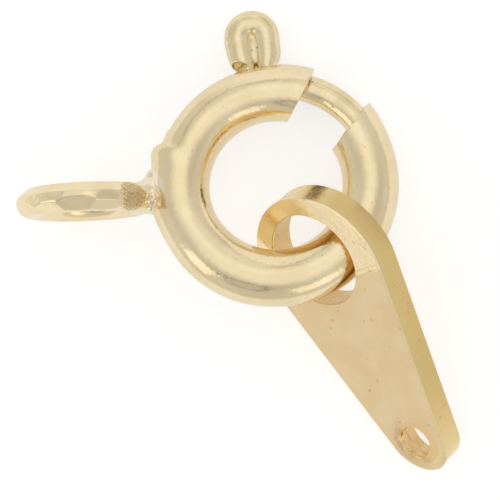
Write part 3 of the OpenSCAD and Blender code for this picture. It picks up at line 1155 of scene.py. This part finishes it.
def makeTag():
    s = tagSize
    tailHoleRadius = s["tailHole"][0][1]
    tailHoleMiddle = Vector((*s["tailHoleAt"], 0))

    def atTailHole(point, margin):
        return (point - tailHoleMiddle).xy.length < tailHoleRadius + margin

    along, across = s["tailAt"][0] - s["headAt"][0], s["tailAt"][1] - s["headAt"][1]
    slant = math.atan2(across, along)
    tangent = math.acos((s["headRadius"] - s["tailRadius"]) / math.hypot(along, across))
    outline = []
    for name, at, radius, count in (
        ("head", s["headAt"], s["headRadius"], s["headPoints"]),
        ("tail", s["tailAt"], s["tailRadius"], s["tailPoints"]),
    ):
        clearAll()
        bpy.ops.mesh.primitive_circle_add(vertices=count, radius=radius, location=(at[0], at[1], 0))
        arc = takeNew(name)
        bakePlace(arc)
        edit(arc)

        def offOutline(point):
            turn = abs(math.atan2(point.y - at[1], point.x - at[0]) - slant)
            return turn < tangent if name == "head" else turn > tangent

        pickPoints(arc, offOutline)
        bpy.ops.mesh.delete(type="VERT")
        leave()
        outline.append(arc)
    tag = joinAll(outline)
    tag.name = "chainTag"
    tag.data.name = "chainTag"
    edit(tag)
    for side in (-1, 1):
        # join the two loose ends on this side

        def looseEnd(point):
            onHead, onTail = (
                abs((math.atan2(point.y - s[end][1], point.x - s[end][0]) - slant) * side - tangent)
                for end in ("headAt", "tailAt")
            )
            if point.x < s["halfway"]:
                return onHead < math.radians(s["headEnd"])
            return onTail < math.radians(s["tailEnd"])

        pickPoints(tag, looseEnd)
        bpy.ops.mesh.edge_face_add()
    pickPoints(tag, lambda point: point.x > s["halfway"])
    skewTail(s["tailSkew"])
    for at, radius, count in (
        ((0, 0), s["holeRadius"], s["holePoints"]),
        (s["tailHoleAt"], tailHoleRadius, s["tailHolePoints"]),
    ):
        bpy.ops.mesh.primitive_circle_add(vertices=count, radius=radius, location=(at[0], at[1], 0))
    bpy.ops.mesh.select_mode(type="EDGE")
    bpy.ops.mesh.select_all(action="SELECT")
    bpy.ops.mesh.fill(use_beauty=True)
    strikeLines(tag)
    bpy.ops.mesh.select_all(action="SELECT")
    # the flat faces lose their inner lines, which would hold the bevel back
    bpy.ops.mesh.dissolve_limited(angle_limit=math.radians(s["flatAngle"]))
    bpy.ops.mesh.select_all(action="SELECT")
    bpy.ops.mesh.extrude_region_move(TRANSFORM_OT_translate={"value": (0, 0, -s["shearDepth"])})
    bpy.ops.mesh.extrude_region_move(
        TRANSFORM_OT_translate={"value": (0, 0, s["shearDepth"] - s["thick"])}
    )
    # the back is flat again
    pickPoints(tag, lambda point: point.z < -s["thick"] + s["levelReach"])
    bpy.ops.transform.resize(value=(1, 1, 0), center_override=(0, 0, -s["thick"]))
    # the sheared side stands a little proud between the faces

    def onShear(point):
        inBigHole = point.xy.length < s["holeRadius"] + s["holeRim"]
        if inBigHole or atTailHole(point, s["tailHoleRim"]):
            return False
        return abs(point.z + s["shearDepth"]) < s["levelReach"]

    pickPoints(tag, onShear)
    bpy.ops.transform.shrink_fatten(value=s["shearStep"])
    # swap the small hole's plain wall for the stepped one
    pickFaces(tag, lambda middle, normal: atTailHole(middle, sameSpot) and abs(normal.z) < 0.5)
    bpy.ops.mesh.delete(type="FACE")
    # towards the back the tail's end is drawn in
    pickPoints(
        tag,
        lambda point: point.x > s["backSkewFrom"]
        and point.z < -s["backSkewBelow"]
        and not atTailHole(point, s["tailHoleRim"]),
    )
    skewTail(-s["backSkew"])
    leave()
    tidyFaces(tag, s["cutsApart"])
    edges = tag.modifiers.new("edges", "BEVEL")
    edges.width = s["edge"]
    edges.segments = s["edgeSteps"]
    edges.limit_method = "ANGLE"
    edges.angle_limit = math.radians(s["edgeAngle"])
    bakeModifiers(tag)
    edit(tag)
    bpy.ops.mesh.select_mode(type="EDGE")
    bpy.ops.mesh.primitive_circle_add(
        vertices=s["tailHolePoints"], radius=tailHoleRadius, location=tailHoleMiddle
    )
    for before, after in zip(s["tailHole"], s["tailHole"][1:]):
        bpy.ops.mesh.extrude_region_move(
            TRANSFORM_OT_translate={"value": (0, after[2] - before[2], after[0] - before[0])}
        )
        grow = after[1] / before[1]
        bpy.ops.transform.resize(
            value=(grow, grow, 1),
            center_override=tailHoleMiddle + Vector((0, after[2], after[0])),
        )
    leave()
    tidyFaces(tag)
    smooth(tag, s["shadeAngle"])
    return tag


def strikeLines(tag):
    # each struck line is three cuts across the rim, with the middle one raised
    s = tagSize
    for (x0, y0), (x1, y1) in s["strikes"]:
        start, finish = Vector((x0, y0, 0)), Vector((x1, y1, 0))
        run = (finish - start).normalized()
        across = Vector((run.y, -run.x, 0))
        for shift in (-s["strikeHalf"], 0, s["strikeHalf"]):
            bpy.ops.mesh.select_all(action="SELECT")
            bpy.ops.mesh.bisect(plane_co=start + across * shift, plane_no=across)
        pickPoints(
            tag,
            lambda point: abs((point - start).dot(across)) < s["strikeSlack"]
            and point.xy.length > s["holeRadius"] - s["rimSlack"]
            and point.y > s["strikeSide"],
        )
        bpy.ops.transform.translate(value=(0, 0, s["strikeRise"]))


warmGold = makeWarmGold()
tag = makeTag()
tag.data.materials.append(warmGold)
tag.matrix_world = tagPlace
bakePlace(tag)
layDown(tag)
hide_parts("tag")
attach(tag, "clasp")
print("tag made")


# camera, floor and light

cameraPlace = {
    "location": (0.007625, 0.004408, 0.060952),
    "rotation": (-4.426, 6.952, -0.344),
    "lens": 177.3,
    "sensor": 36,
    "seesFrom": 0.001,
    "seesTo": 10,
}
clearAll()
bpy.ops.object.camera_add(
    location=cameraPlace["location"],
    rotation=[math.radians(a) for a in cameraPlace["rotation"]],
)
camera = bpy.context.active_object
camera.data.lens = cameraPlace["lens"]
camera.data.sensor_width = cameraPlace["sensor"]
camera.data.clip_start = cameraPlace["seesFrom"]
camera.data.clip_end = cameraPlace["seesTo"]
bpy.context.scene.camera = camera

# a light table, so that the shadows stay faint
floorSize = {
    "side": 1.6,
    "squares": 4,
    "colour": (0.50, 0.50, 0.50, 1),
    "rough": 0.7,
    "light": (1, 1, 1, 1),
    "glow": 0.50,
    "burnt": 0.14,
}
clearAll()
bpy.ops.mesh.primitive_grid_add(
    x_subdivisions=floorSize["squares"], y_subdivisions=floorSize["squares"], size=floorSize["side"]
)
floor = takeNew("floor")
floorPaint = bpy.data.materials.new("floor card")
floorPaint.use_nodes = True
card = floorPaint.node_tree.nodes["Principled BSDF"]
card.inputs["Base Color"].default_value = floorSize["colour"]
card.inputs["Roughness"].default_value = floorSize["rough"]
card.inputs["Emission Color"].default_value = floorSize["light"]
# the camera sees the lit card burnt out to white
paint = floorPaint.node_tree
seen = paint.nodes.new("ShaderNodeLightPath")
burnt = mathNode(paint, "MULTIPLY", seen.outputs["Is Camera Ray"], floorSize["burnt"])
glow = mathNode(paint, "ADD", floorSize["glow"], burnt)
paint.links.new(glow, card.inputs["Emission Strength"])
floor.data.materials.append(floorPaint)

# soft dome with broad lighter and darker areas: azimuth from +X, elevation, half width, strength
dome = {
    "colour": (1.0, 0.985, 0.965, 1),
    "level": 0.72,
    "areas": (
        (60, 80, 40, 0.26),
        (81, 42, 33, 0.14),
        (95, 5, 34, 0.24),
        (235, 52, 30, -0.12),
        (10, 45, 28, -0.10),
        (165, 50, 26, -0.06),
        (350, 0, 30, -0.05),
        (255, 15, 26, -0.06),
        (278, 45, 26, -0.07),
    ),
    # seams between its cloths: middle and radius of each arc, and where it shows: place and half length
    "seams": (
        (112, 42, 12, 112, 33, 20),
        (12, 43, 60, 72, 15, 38),
        (244, 50, 13, 240, 46, 26),
    ),
    "seamHalf": 3.0,
    "seamCore": 0.3,
    "seamFade": 8,
    "seamDark": -0.22,
}
# crisp panels: azimuth, elevation, width and height in degrees, strength
panels = (
    (210, 33, 24, 30, 0.50),
    (300, 33, 30, 26, 0.42),
)
panelDistance = 0.30
panelColour = (1.0, 0.97, 0.93)


def skyward(azimuth, elevation):
    a, e = math.radians(azimuth), math.radians(elevation)
    return Vector((math.cos(a) * math.cos(e), math.sin(a) * math.cos(e), math.sin(e)))


def makeDome():
    world = bpy.data.worlds.new("studio")
    bpy.context.scene.world = world
    world.use_nodes = True
    tree = world.node_tree
    backdrop = tree.nodes["Background"]
    coords = tree.nodes.new("ShaderNodeTexCoord")
    level = dome["level"]
    for azimuth, elevation, half, strength in dome["areas"]:
        dot = tree.nodes.new("ShaderNodeVectorMath")
        dot.operation = "DOT_PRODUCT"
        dot.inputs[1].default_value = skyward(azimuth, elevation)
        tree.links.new(coords.outputs["Generated"], dot.inputs[0])
        edge = math.cos(math.radians(half))
        level = mathNode(tree, "ADD", level, remap(tree, dot.outputs["Value"], edge, 1.0, 0.0, strength))
    for azimuth, elevation, radius, nearAzimuth, nearElevation, reach in dome["seams"]:
        centre, near = (tree.nodes.new("ShaderNodeVectorMath") for _ in range(2))
        middle, shownAt = skyward(azimuth, elevation), skyward(nearAzimuth, nearElevation)
        for node, place in ((centre, middle), (near, shownAt)):
            node.operation = "DOT_PRODUCT"
            node.inputs[1].default_value = place
            tree.links.new(coords.outputs["Generated"], node.inputs[0])
        off = mathNode(tree, "SUBTRACT", centre.outputs["Value"], math.cos(math.radians(radius)))
        half = math.sin(math.radians(radius)) * math.radians(dome["seamHalf"])
        off = mathNode(tree, "ABSOLUTE", off)
        line = remap(tree, off, half * dome["seamCore"], half, dome["seamDark"], 0.0)
        ends = math.cos(math.radians(reach)), math.cos(math.radians(reach - dome["seamFade"]))
        shown = remap(tree, near.outputs["Value"], *ends)
        level = mathNode(tree, "ADD", level, mathNode(tree, "MULTIPLY", line, shown))
    tree.links.new(level, backdrop.inputs["Strength"])
    backdrop.inputs["Color"].default_value = dome["colour"]


def makePanels():
    for number, (azimuth, elevation, wide, high, strength) in enumerate(panels):
        away = skyward(azimuth, elevation)
        lamp = bpy.data.lights.new("panel%d" % number, "AREA")
        lamp.shape = "RECTANGLE"
        lamp.size = 2 * panelDistance * math.tan(math.radians(wide / 2))
        lamp.size_y = 2 * panelDistance * math.tan(math.radians(high / 2))
        lamp.energy = strength * math.pi * lamp.size * lamp.size_y
        lamp.color = panelColour
        panel = bpy.data.objects.new("panel%d" % number, lamp)
        bpy.context.scene.collection.objects.link(panel)
        panel.location = away * panelDistance
        panel.rotation_euler = away.to_track_quat("Z", "Y").to_euler()
        panel.visible_camera = False


makeDome()
makePanels()
bpy.context.scene.view_settings.view_transform = "Standard"
print("studio made")
